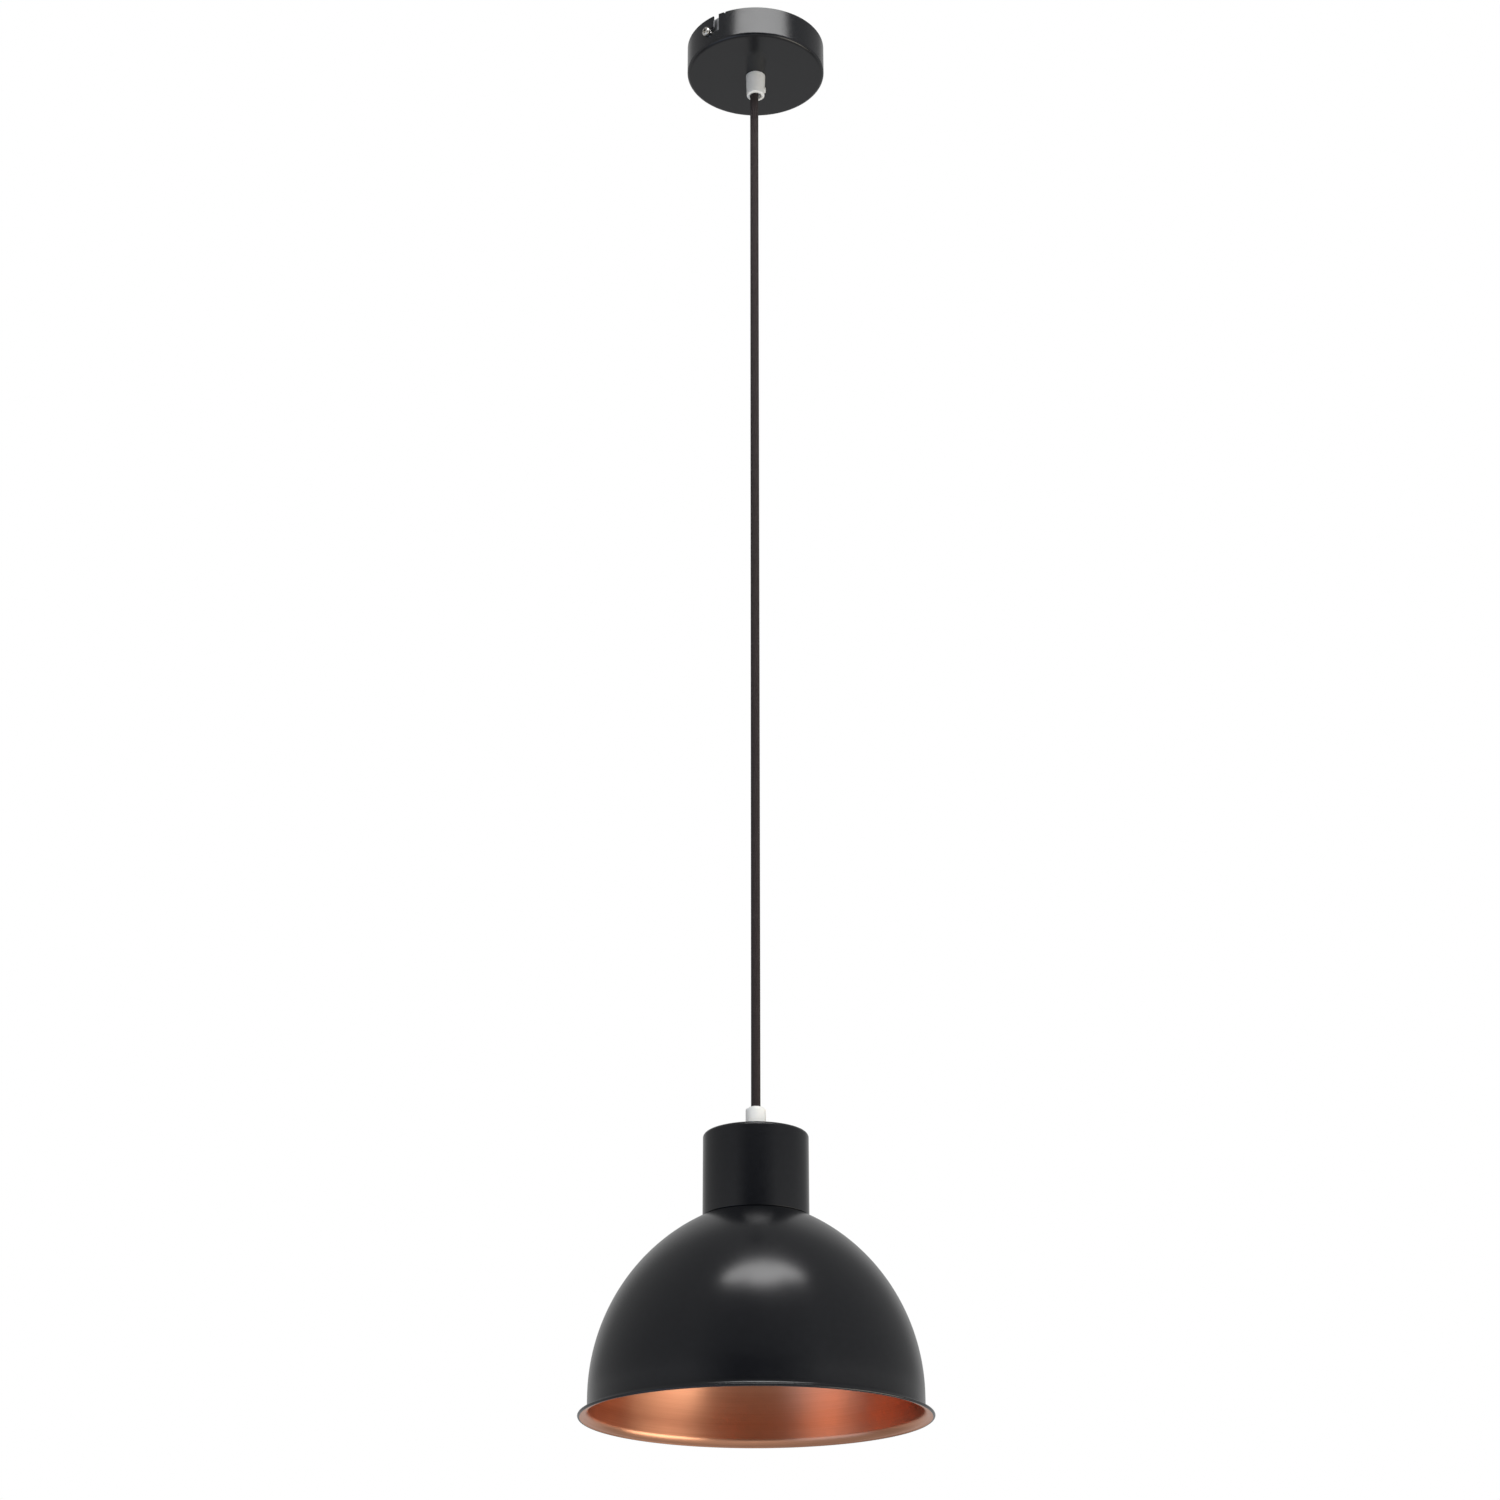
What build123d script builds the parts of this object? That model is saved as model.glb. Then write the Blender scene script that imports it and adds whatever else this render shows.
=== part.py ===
"""Pendant ceiling light: ceiling canopy on a screwed bracket, textile cord, black and copper dome shade.

Millimetres, +Z up. The origin is on the ceiling plane, at the centre of the bracket's top face,
and the light hangs down from it. The bracket lies along X.
"""
from build123d import *
import os
from math import cos, radians, sin, sqrt

os.makedirs("parts", exist_ok=True)

# ---- driving dimensions -------------------------------------------------------------------------
overall_height = 998.8          # ceiling to the lowest point of the shade's rim

canopy_radius = 50.0
canopy_height = 24.2            # ceiling to the canopy's flat face
canopy_sheet = 1.0
canopy_edge_radius = 2.4
ceiling_gap = 0.3               # the canopy's rim stays just clear of the ceiling

strip_thickness = 1.5           # mounting bracket
strip_width = 24.0
bracket_half_length = 46.9
bracket_leg = 18.0
ceiling_slot_spacing = 54.0
ceiling_slot_length = 12.0
ceiling_slot_width = 5.0
ear_half_width = 13.0
ear_end_y = 29.0

side_screw_drop = 11.9          # ceiling to the axis of the two side screws
side_screw_radius = 1.95        # M4
side_screw_length = 9.0
side_screw_head_radius = 3.4
side_screw_head_height = 3.0
side_screw_recess = 4.0         # length of the cross in the head
slot_width = 4.5                # L-shaped bayonet slots in the canopy wall
twist_angle = 8.9               # canopy's turn from locked to free
rim_notch_angle = 197.3
rim_notch_side = 1.5

grip_length = 17.3              # cord grips below the canopy and above the neck
grip_stud_radius = 4.95         # M10 x 1
grip_stud_length = 10.0
grip_stud_hole_gap = 0.2
grip_screw_radius = 2.0
grip_screw_rise = 5.3           # above the canopy grip's mouth
grip_screw_angle = -46.3        # where the canopy grip's screw presses on the cord
cord_radius = 3.0
cord_push = 1.0                 # how far that screw pushes the cord off the canopy's axis

neck_radius = 33.15
neck_sheet = 1.0
neck_height = 52.9

shade_sheet = 0.9
dome_arc_radius = 122.2         # the dome is one arc, centred beyond the axis
dome_arc_overhang = 20.0
dome_centre_height = 12.9       # above the rim's lowest point
seat_edge_radius = 32.4         # flat seat on top of the dome
seat_hole_radius = 20.6
flare_arc_radius = 3.6
flare_turn = 86.0
flare_run = 1.47
rim_bead_radius = 0.95

running_gap = 0.3               # between bodies that move on each other
seated_gap = 0.05               # between pieces fixed to each other
bend_spacing = 45.0             # between the cord's two bending points

# ---- levels and axes worked out from them -------------------------------------------------------
canopy_floor_z = -canopy_height
canopy_inside_z = canopy_floor_z + canopy_sheet
grip_exit_z = canopy_floor_z - grip_length
grip_stud_top_z = canopy_floor_z + grip_stud_length
side_screw_z = -side_screw_drop

upper_bend_z = grip_exit_z - 1.0
lower_bend_z = upper_bend_z - bend_spacing

rim_z = -overall_height
dome_centre_z = rim_z + dome_centre_height
wall_radius = dome_arc_radius - dome_arc_overhang
seat_z = dome_centre_z + sqrt(dome_arc_radius**2 - (seat_edge_radius + dome_arc_overhang) ** 2)
neck_top_z = seat_z + neck_height
shade_grip_top_z = neck_top_z + grip_length

lamp_x = -cord_push * cos(radians(grip_screw_angle))
lamp_y = -cord_push * sin(radians(grip_screw_angle))
lamp_axis = Pos(lamp_x, lamp_y, 0)


# ---- helpers ------------------------------------------------------------------------------------
def turned(*lines):
    """Solid of revolution about Z from outline pieces drawn as (radius, height)."""
    return revolve(Plane.XZ * make_face(Curve() + list(lines)), Axis.Z)


def turned_points(*points):
    """Solid of revolution about Z from a closed outline of (radius, height) points."""
    return turned(Polyline(*points, close=True))


def rod(radius, z_low, z_high):
    """Upright cylinder between two levels."""
    return Pos(0, 0, (z_low + z_high) / 2) * Cylinder(radius, z_high - z_low)


def block(x_range, y_range, z_range):
    """Box between two corners."""
    size = [high - low for low, high in (x_range, y_range, z_range)]
    middle = [(high + low) / 2 for low, high in (x_range, y_range, z_range)]
    return Pos(*middle) * Box(*size)


def circles_at(part, radius, z):
    """The part's circular edges of one radius at one level."""
    rings = part.edges().filter_by(GeomType.CIRCLE)
    return rings.filter_by(lambda e: abs(e.radius - radius) < 0.02 and abs(e.center().Z - z) < 0.02)


def radial_rod(radius, start, end, angle, z):
    """Cylinder that points away from the axis at one angle and level."""
    return Rot(0, 0, angle) * Pos((start + end) / 2, 0, z) * Rot(0, 90, 0) * Cylinder(radius, end - start)


def opposite_pair(part):
    """A part at angle 0 and its copy turned half way round."""
    return [part, Rot(0, 0, 180) * part]


# ---- ceiling bracket ----------------------------------------------------------------------------
def mounting_bracket():
    """U-shaped steel strip with a side ear for the terminal block."""
    half = bracket_half_length
    strip = block((-half, half), (-strip_width / 2, strip_width / 2), (-strip_thickness, 0))
    for leg_x in ((-half, -half + strip_thickness), (half - strip_thickness, half)):
        strip += block(leg_x, (-strip_width / 2, strip_width / 2), (-bracket_leg, 0))
    along_y = strip.edges().filter_by(Axis.Y)
    strip = fillet(along_y.filter_by(lambda e: e.center().Z > -0.01), 2.0)
    inner = strip.edges().filter_by(Axis.Y).filter_by(lambda e: abs(e.center().Z + strip_thickness) < 0.01)
    strip = fillet(inner, 0.6)
    leg_corners = strip.edges().filter_by(Axis.X).filter_by(lambda e: e.center().Z < -bracket_leg + 0.01)
    strip = fillet(leg_corners, 5.0)
    ear = block((-ear_half_width, ear_half_width), (8.0, ear_end_y), (-strip_thickness, 0))
    ear = fillet(ear.edges().filter_by(Axis.Z).sort_by(Axis.Y)[-2:], 3.0)
    bracket = strip + ear
    slot = extrude(SlotOverall(ceiling_slot_length, ceiling_slot_width), 4, both=True)
    for x in (-ceiling_slot_spacing / 2, ceiling_slot_spacing / 2):
        bracket -= Pos(x, 0, 0) * slot
    for hole in opposite_pair(radial_rod(side_screw_radius, half - 4, half + 4, 0, side_screw_z)):
        bracket -= hole
    bracket -= Pos(block_screw_x, block_middle_y, 0) * rod(block_screw_radius, -4, 4)
    return bracket


def pan_head_screw(radius, length, head_radius, head_height, recess):
    """Cross-recessed pan head screw, with its head above z=0 and its shank below."""
    head = rod(head_radius, 0, head_height)
    head = fillet(circles_at(head, head_radius, head_height), head_height * 0.55)
    screw = head + rod(radius, -length, 0)
    screw = chamfer(circles_at(screw, radius, -length), radius * 0.3)
    for turn in (0, 90):
        screw -= Rot(0, 0, turn) * Pos(0, 0, head_height) * Box(recess, recess * 0.22, head_height * 1.1)
    return screw


def bracket_screws():
    """Two M4 screws that lock the canopy, heads outside its wall."""
    screw = pan_head_screw(side_screw_radius, side_screw_length, side_screw_head_radius,
                           side_screw_head_height, side_screw_recess)
    placed = Pos(canopy_radius + running_gap + seated_gap, 0, side_screw_z) * Rot(0, 90, 0) * screw
    return Compound(children=opposite_pair(placed))


# ---- terminal block on the bracket's ear --------------------------------------------------------
pole_pitch = 10.0
pole_width = 8.6
pole_length = 17.0
pole_depth = 8.0
pole_bore_radius = 2.3
turret_radius = 3.4
turret_height = 6.0
turret_spacing = 9.5
block_middle_y = 22.0
block_screw_x = pole_pitch / 2
block_screw_radius = 1.45
block_top_z = -strip_thickness
insert_axis_z = block_top_z - 4.8
insert_radius = 2.25
insert_length = 15.0
wire_bore_radius = 1.6
wire_bore_depth = 6.9
clamp_screw_radius = 1.4
block_bottom_z = block_top_z - pole_depth - turret_height
pole_places = (-pole_pitch, 0.0, pole_pitch)


def pole_body():
    """One moulded pole, its barrel along Y and two screw turrets pointing down."""
    barrel = Box(pole_width, pole_length, pole_depth)
    barrel = fillet(barrel.edges().filter_by(Axis.Y).sort_by(Axis.Z)[:2], 2.0)
    pole = Pos(0, block_middle_y, block_top_z - pole_depth / 2) * barrel
    for y in turret_places():
        pole += Pos(0, y, 0) * rod(turret_radius, block_bottom_z, block_top_z - pole_depth + 1)
    return pole


def turret_places():
    """The two clamp screws of a pole: canopy side, then supply side."""
    return (block_middle_y - turret_spacing / 2, block_middle_y + turret_spacing / 2)


def terminal_block():
    """Three-pole terminal block of white polyamide."""
    body = block((-pole_pitch - 3, pole_pitch + 3), (block_middle_y - 3.5, block_middle_y + 3.5),
                 (block_top_z - 2.5, block_top_z))
    for x in pole_places:
        body += Pos(x, 0, 0) * pole_body()
    for x in pole_places:
        body -= Pos(x, block_middle_y, insert_axis_z) * Rot(90, 0, 0) * Cylinder(pole_bore_radius, 40)
        for y in turret_places():
            body -= Pos(x, y, 0) * rod(clamp_screw_radius + 0.35, block_bottom_z - 1, insert_axis_z)
    for x in (-pole_pitch / 2, pole_pitch / 2):
        body -= Pos(x, block_middle_y, 0) * rod(2.5, block_bottom_z, block_top_z - 2.5)
        body -= Pos(x, block_middle_y, 0) * rod(1.6, block_bottom_z, 1)
    return body


def terminal_inserts():
    """Brass sleeves of the three poles, with a blind wire hole at each end."""
    sleeve = Rot(90, 0, 0) * Cylinder(insert_radius, insert_length)
    for side in (-1, 1):
        depth_middle = side * (insert_length - wire_bore_depth) / 2
        sleeve -= Pos(0, depth_middle, 0) * Rot(90, 0, 0) * Cylinder(wire_bore_radius, wire_bore_depth)
        sleeve -= Pos(0, side * turret_spacing / 2, 0) * rod(clamp_screw_radius, -insert_radius - 1, 0)
    return Compound(children=[Pos(x, block_middle_y, insert_axis_z) * sleeve for x in pole_places])


def clamp_screw(tip_z):
    """Slotted grub screw in a turret, driven from below."""
    low = block_bottom_z + 0.8
    screw = rod(clamp_screw_radius, low, tip_z)
    return screw - block((-2, 2), (-0.3, 0.3), (low - 1, low + 0.8))


def terminal_screws():
    """Six grub screws: closed on the cord's cores, open on the supply side."""
    canopy_y, supply_y = turret_places()
    screws = []
    for x in pole_places:
        tip_z = insert_axis_z - wire_bore_radius - 0.1
        closed_z = tip_z if x == 0 else insert_axis_z - core_copper_radius - seated_gap
        screws.append(Pos(x, canopy_y, 0) * clamp_screw(closed_z))
        screws.append(Pos(x, supply_y, 0) * clamp_screw(tip_z))
    return Compound(children=screws)


def terminal_block_screw():
    """Screw that holds the terminal block to the bracket's ear."""
    screw = Rot(180, 0, 0) * pan_head_screw(block_screw_radius, 3.8, 2.4, 1.8, 2.6)
    return Pos(block_screw_x, block_middle_y, block_top_z - 2.5) * screw


# ---- cord cores ---------------------------------------------------------------------------------
core_radius = 1.05
core_copper_radius = 0.6
core_spread = 1.15
upper_tail_top_z = grip_stud_top_z + 1.3


def core(points, start_way, end_way, tip_length):
    """Insulated core along a smooth curve, with a bare copper end of the given length."""
    route = Spline(*points, tangents=(start_way, end_way))
    profile = Plane(origin=points[0], z_dir=start_way) * Circle(core_radius)
    wire = sweep(profile, path=route)
    end = Vector(*points[-1])
    way = Vector(*end_way)
    tip = Plane(origin=end + way * (tip_length / 2 - 0.2), z_dir=way) * Cylinder(core_copper_radius, tip_length)
    return wire + tip


def upper_wire(side):
    """Core from the cord's end in the canopy to a pole of the terminal block."""
    pole_x = side * pole_pitch
    start_x = lamp_x + side * core_spread
    points = [
        (start_x, lamp_y, upper_tail_top_z + running_gap),
        (start_x + side * 0.6, lamp_y + 0.6, -8.6),
        (side * 6.6, 6.4, -5.6),
        (pole_x, block_middle_y - pole_length / 2 - 0.3, insert_axis_z),
    ]
    return core(points, (0, 0, 1), (0, 1, 0), 6.0)


# ---- canopy -------------------------------------------------------------------------------------
def bayonet_slot():
    """Cutter for one L-shaped slot: down from the rim, then round to the locked end."""
    inner = canopy_radius - 3
    outer = canopy_radius + 3
    half = slot_width / 2
    cut = radial_rod(half, inner, outer, 0, side_screw_z)
    window = Polyline((inner, side_screw_z - half), (outer, side_screw_z - half),
                      (outer, side_screw_z + half), (inner, side_screw_z + half), close=True)
    cut += revolve(Plane.XZ * make_face(window), Axis.Z, revolution_arc=twist_angle)
    cut += Rot(0, 0, twist_angle) * block((inner, outer), (-half, half), (side_screw_z - half, 2))
    return cut


def canopy_cup():
    """Spun steel cup that covers the bracket, open towards the ceiling."""
    cup = rod(canopy_radius, canopy_floor_z, -ceiling_gap)
    cup = fillet(circles_at(cup, canopy_radius, canopy_floor_z), canopy_edge_radius)
    hollow = rod(canopy_radius - canopy_sheet, canopy_inside_z, 1)
    hollow = fillet(circles_at(hollow, canopy_radius - canopy_sheet, canopy_inside_z),
                    canopy_edge_radius - canopy_sheet)
    cup -= hollow
    cup -= rod(grip_stud_radius + grip_stud_hole_gap, canopy_floor_z - 1, 1)
    for slot in opposite_pair(bayonet_slot()):
        cup -= slot
    notch = Pos(canopy_radius, 0, -ceiling_gap) * Rot(45, 0, 0) * Box(4, rim_notch_side, rim_notch_side)
    return cup - Rot(0, 0, rim_notch_angle) * notch


grip_screw_z = grip_exit_z + grip_screw_rise


def canopy_cord_grip():
    """Nylon cord grip: tapered body below the canopy, hollow M10 stud through it."""
    top_radius = 7.0
    exit_radius = 6.45
    bore = cord_radius + cord_push + running_gap + seated_gap
    stud_bore = cord_radius + cord_push + seated_gap
    grip = turned_points(
        (stud_bore, grip_stud_top_z), (grip_stud_radius, grip_stud_top_z),
        (grip_stud_radius, canopy_floor_z), (top_radius, canopy_floor_z),
        (exit_radius, grip_exit_z), (bore, grip_exit_z),
        (bore, canopy_floor_z), (stud_bore, canopy_floor_z))
    grip = fillet(circles_at(grip, exit_radius, grip_exit_z), 0.8)
    return grip - radial_rod(grip_screw_radius, 1, 12, grip_screw_angle, grip_screw_z)


def grip_screw(tip_distance, end_distance, angle, z):
    """Slotted nylon screw in the side of a cord grip."""
    screw = radial_rod(grip_screw_radius, tip_distance, end_distance, angle, z)
    slot = Rot(0, 0, angle) * Pos(end_distance, 0, z) * Box(1.6, 6, 0.7)
    return screw - slot


def canopy_grip_nut():
    """Thin hexagon nut on the grip's stud."""
    height = 3.5
    flats = 14.0
    low = canopy_inside_z + washer_thickness
    hexagon = extrude(RegularPolygon(flats / 2, 6, major_radius=False), height)
    crown = turned_points((0, 0), (flats / 2 + 0.4, 0), (flats / 2 + 1.3, 0.6),
                          (flats / 2 + 1.3, height - 0.6), (flats / 2 + 0.4, height), (0, height))
    nut = (hexagon & crown) - rod(grip_stud_radius + seated_gap, -1, height + 1)
    return Pos(0, 0, low) * nut


washer_thickness = 0.8


def canopy_grip_washer():
    """Toothed lock washer under the nut."""
    washer = rod(9.2, canopy_inside_z, canopy_inside_z + washer_thickness)
    washer -= rod(grip_stud_radius + 0.25, canopy_inside_z - 1, 1)
    teeth = 16
    for number in range(teeth):
        gap = block((7.9, 11), (-0.55, 0.55), (canopy_inside_z - 1, canopy_inside_z + 2))
        washer -= Rot(0, 0, 360 / teeth * number) * gap
    return washer


# ---- cord ---------------------------------------------------------------------------------------
lower_tail_top_z = shade_grip_top_z - 3.3
lower_tail_end_z = neck_top_z - grip_stud_length - 1.7


def cord_tail_upper():
    """Cord inside the canopy's grip, up to where its jacket ends."""
    return lamp_axis * rod(cord_radius, upper_bend_z + cord_radius + running_gap, upper_tail_top_z)


def cord_link(bend_z, low_z):
    """Straight length of cord with a ball end at its bending point."""
    return lamp_axis * (rod(cord_radius, low_z, bend_z) + Pos(0, 0, bend_z) * Sphere(cord_radius))


def cord_tail_lower():
    """Cord inside the shade's grip, down to where its jacket ends."""
    return lamp_axis * rod(cord_radius, lower_tail_end_z, lower_tail_top_z)


# ---- grip and neck above the shade --------------------------------------------------------------
shade_grip_screw_z = neck_top_z + 7.5
shade_grip_screw_angle = 43.7
shade_grip_radius = 6.4
shade_collar_radius = 4.4
shade_shoulder_drop = 1.0       # from the collar's top to the shoulder's edge
shade_shoulder_fillet = 1.1


def shade_cord_grip():
    """Nylon cord grip on the neck: round body with a small collar, hollow stud below."""
    bore = cord_radius + seated_gap
    mouth = cord_radius + running_gap + seated_gap
    shoulder_z = shade_grip_top_z - shade_shoulder_drop
    mouth_z = lower_tail_top_z - 0.2
    stud_z = neck_top_z - grip_stud_length - 1.0
    grip = turned_points(
        (mouth, shade_grip_top_z), (shade_collar_radius, shade_grip_top_z),
        (shade_collar_radius + 0.2, shade_grip_top_z - 0.5), (shade_grip_radius, shoulder_z),
        (shade_grip_radius, neck_top_z), (grip_stud_radius, neck_top_z),
        (grip_stud_radius, stud_z), (bore, stud_z), (bore, mouth_z), (mouth, mouth_z))
    grip = fillet(circles_at(grip, shade_grip_radius, shoulder_z), shade_shoulder_fillet)
    grip -= radial_rod(grip_screw_radius, 1, 12, shade_grip_screw_angle, shade_grip_screw_z)
    return lamp_axis * grip


def neck_cup():
    """Steel cup over the lampholder, standing on the shade's seat."""
    cup = rod(neck_radius, seat_z, neck_top_z)
    cup = fillet(circles_at(cup, neck_radius, neck_top_z), 2.5)
    hollow = rod(neck_radius - neck_sheet, seat_z - 1, neck_top_z - neck_sheet)
    hollow = fillet(circles_at(hollow, neck_radius - neck_sheet, neck_top_z - neck_sheet), 1.5)
    cup -= hollow
    cup -= rod(grip_stud_radius + grip_stud_hole_gap, seat_z, neck_top_z + 1)
    return lamp_axis * cup


# ---- shade --------------------------------------------------------------------------------------
def shade_side(offset):
    """One face of the shade's sheet from the seat's hole to the rim, set in by an offset."""
    arc_radius = dome_arc_radius - offset
    level = seat_z - offset
    across = sqrt(arc_radius**2 - (level - dome_centre_z) ** 2) - dome_arc_overhang
    flare_top_z = rim_z + flare_drop()
    wall = wall_radius - offset
    arc = flare_arc_radius + offset
    flare_middle = (wall + arc, flare_top_z)
    turn = radians(flare_turn)
    flare_end = (flare_middle[0] - arc * cos(turn), flare_top_z - arc * sin(turn))
    half = radians(flare_turn / 2)
    flare_mid = (flare_middle[0] - arc * cos(half), flare_top_z - arc * sin(half))
    lip = (flare_end[0] + flare_run * sin(turn), flare_end[1] - flare_run * cos(turn))
    middle_z = (level + dome_centre_z) / 2
    middle_r = sqrt(arc_radius**2 - (middle_z - dome_centre_z) ** 2) - dome_arc_overhang
    lines = [
        Line((seat_hole_radius, level), (across, level)),
        ThreePointArc((across, level), (middle_r, middle_z), (wall, dome_centre_z)),
        Line((wall, dome_centre_z), (wall, flare_top_z)),
        ThreePointArc((wall, flare_top_z), flare_mid, flare_end),
        Line(flare_end, lip),
    ]
    return lines, lip


def flare_drop():
    """Height of the flare's start above the rim's lowest point."""
    turn = radians(flare_turn)
    centre_line = flare_arc_radius + shade_sheet / 2
    return centre_line * sin(turn) + flare_run * cos(turn) + rim_bead_radius


def shade():
    """Spun steel dome with a flat seat, a short straight wall, a flare and a beaded rim."""
    outer, outer_lip = shade_side(0)
    inner, inner_lip = shade_side(shade_sheet)
    hole = Line((seat_hole_radius, seat_z), (seat_hole_radius, seat_z - shade_sheet))
    section = make_face(Curve() + outer + inner + [hole, Line(outer_lip, inner_lip)])
    bead_at = ((outer_lip[0] + inner_lip[0]) / 2, (outer_lip[1] + inner_lip[1]) / 2)
    section += Pos(*bead_at) * Circle(rim_bead_radius)
    return lamp_axis * revolve(Plane.XZ * section, Axis.Z)


# ---- lampholder (E27) ---------------------------------------------------------------------------
cap_top_z = neck_top_z - neck_sheet
cap_radius = 21.0
cap_low_z = cap_top_z - 29.4
spigot_radius = 18.9
holder_bore_radius = 17.1
holder_core_radius = 19.1
holder_crest_radius = 19.75
holder_flange_radius = 24.5
holder_mouth_z = seat_z - 16.5
carrier_radius = 16.8
carrier_top_z = cap_low_z + 1.0
carrier_deck_z = carrier_top_z - 8.0
carrier_low_z = holder_mouth_z + 2.0
thread_pitch = 3.62
thread_turns = 5
thread_depth = 1.1
screw_shell_radius = 12.2       # inside the thread's crests, to suit an E27 lamp
screw_shell_sheet = 0.45
contact_screw_x = 9.5


def lampholder_cap():
    """Upper half of the lampholder, screwed on the grip's stud."""
    cap = turned_points(
        (grip_stud_radius + seated_gap, cap_top_z), (8.5, cap_top_z), (8.5, cap_top_z - 8.0),
        (cap_radius - 3, cap_top_z - 12.5), (cap_radius, cap_top_z - 16.0), (cap_radius, cap_low_z),
        (spigot_radius + seated_gap, cap_low_z), (spigot_radius + seated_gap, cap_top_z - 18.0),
        (spigot_radius - 3, cap_top_z - 15.0), (grip_stud_radius + seated_gap, cap_top_z - 12.0))
    cap = fillet(circles_at(cap, cap_radius, cap_top_z - 16.0), 1.5)
    return lamp_axis * cap


def lampholder_shell():
    """Lower half of the lampholder: spigot, flange, threaded skirt for the shade ring."""
    flange_top = seat_z + 2.2
    shell = turned_points(
        (holder_bore_radius, cap_low_z + 7.0), (spigot_radius, cap_low_z + 7.0),
        (spigot_radius, cap_low_z), (20.5, cap_low_z), (20.5, flange_top),
        (holder_flange_radius, flange_top), (holder_flange_radius, seat_z),
        (holder_core_radius, seat_z), (holder_core_radius, holder_mouth_z),
        (15.4, holder_mouth_z), (15.4, carrier_low_z), (holder_bore_radius, carrier_low_z))
    ridge_pitch = 2.5
    ridge_height = holder_crest_radius - holder_core_radius
    for number in range(5):
        z = seat_z - 2.6 - number * ridge_pitch
        shell += turned_points((holder_core_radius - 0.5, z + 1.0), (holder_core_radius, z + 1.0),
                               (holder_core_radius + ridge_height, z + 0.3),
                               (holder_core_radius + ridge_height, z - 0.3),
                               (holder_core_radius, z - 1.0), (holder_core_radius - 0.5, z - 1.0))
    return lamp_axis * shell


def shade_ring():
    """Ring that clamps the shade's seat to the lampholder's flange, ribbed for the fingers."""
    top = seat_z - shade_sheet
    inside = holder_crest_radius + seated_gap
    ring = turned_points((inside, top), (28.0, top), (28.0, top - 2.6), (23.6, top - 3.2),
                         (23.0, top - 9.0), (inside, top - 9.0))
    ribs = 24
    for number in range(ribs):
        scallop = Pos(28.6, 0, 0) * rod(1.3, top - 4, top + 1)
        ring -= Rot(0, 0, 360 / ribs * number) * scallop
    return lamp_axis * ring


def contact_carrier():
    """Ceramic insert that carries the contacts, with a skirt round the screw shell."""
    skirt = screw_shell_radius + thread_depth + screw_shell_sheet + 0.2
    carrier = turned_points((0, carrier_top_z), (carrier_radius, carrier_top_z),
                            (carrier_radius, carrier_low_z), (skirt, carrier_low_z),
                            (skirt, carrier_deck_z), (0, carrier_deck_z))
    for x in (-contact_screw_x, contact_screw_x):
        carrier -= Pos(x, 0, 0) * rod(1.6, carrier_deck_z - 1, carrier_top_z + 1)
    return lamp_axis * carrier


def thread_wave(radius, top_z):
    """Points down a rolled thread's face, which swings out to a crest and back once per pitch."""
    points = []
    middle = radius + thread_depth / 2
    for number in range(thread_turns):
        z = top_z - number * thread_pitch
        points += [(middle, z), (radius + thread_depth, z - thread_pitch * 0.17),
                   (radius + thread_depth, z - thread_pitch * 0.33), (middle, z - thread_pitch * 0.5),
                   (radius, z - thread_pitch * 0.67), (radius, z - thread_pitch * 0.83)]
    return points + [(middle, top_z - thread_turns * thread_pitch)]


def screw_shell():
    """Rolled brass sleeve that takes the lamp's screw base."""
    top_z = carrier_low_z + 1.0 + thread_turns * thread_pitch
    inner = screw_shell_radius + thread_depth / 2
    outer = inner + screw_shell_sheet
    wave = thread_wave(screw_shell_radius, top_z)
    wave += reversed(thread_wave(screw_shell_radius + screw_shell_sheet, top_z))
    collar = turned_points((inner, top_z), (outer, top_z), (outer, carrier_deck_z - seated_gap),
                           (inner, carrier_deck_z - seated_gap))
    return lamp_axis * (turned_points(*wave) + collar)


def contact_strip(start, rise):
    """Bronze strip along X from a terminal screw, as (x, z) corners pulled down by its rise."""
    thickness = 0.4
    low = carrier_deck_z - 0.45
    corners = [(start, low), (start, low - thickness), (7.0, low - thickness), (3.0, rise),
               (-3.0, rise), (-3.0, rise + thickness), (3.2, rise + thickness), (7.2, low)]
    profile = Plane.XZ * make_face(Polyline(*corners, close=True))
    return extrude(profile, 2.6, both=True)


def centre_contact():
    """Sprung contact for the lamp's centre point."""
    return lamp_axis * contact_strip(11.6, carrier_deck_z - 3.6)


def side_contact():
    """Contact that joins the other terminal screw to the screw shell."""
    low = carrier_deck_z - 0.45
    wall = screw_shell_radius + thread_depth / 2 - 0.35
    strip = block((-wall, -6.6), (-2.6, 2.6), (low - 0.4, low))
    strip += block((-wall, -wall + 0.4), (-2.6, 2.6), (low - 4.0, low))
    return lamp_axis * strip


def holder_terminal_screws():
    """Two terminal screws that go through the carrier into the contacts."""
    head_z = carrier_top_z + 1.4
    screw = pan_head_screw(1.55, head_z - carrier_deck_z + 0.4, 3.0, 1.9, 3.4)
    screws = [Pos(x, 0, head_z) * screw for x in (-contact_screw_x, contact_screw_x)]
    return Compound(children=[lamp_axis * placed for placed in screws])


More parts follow.
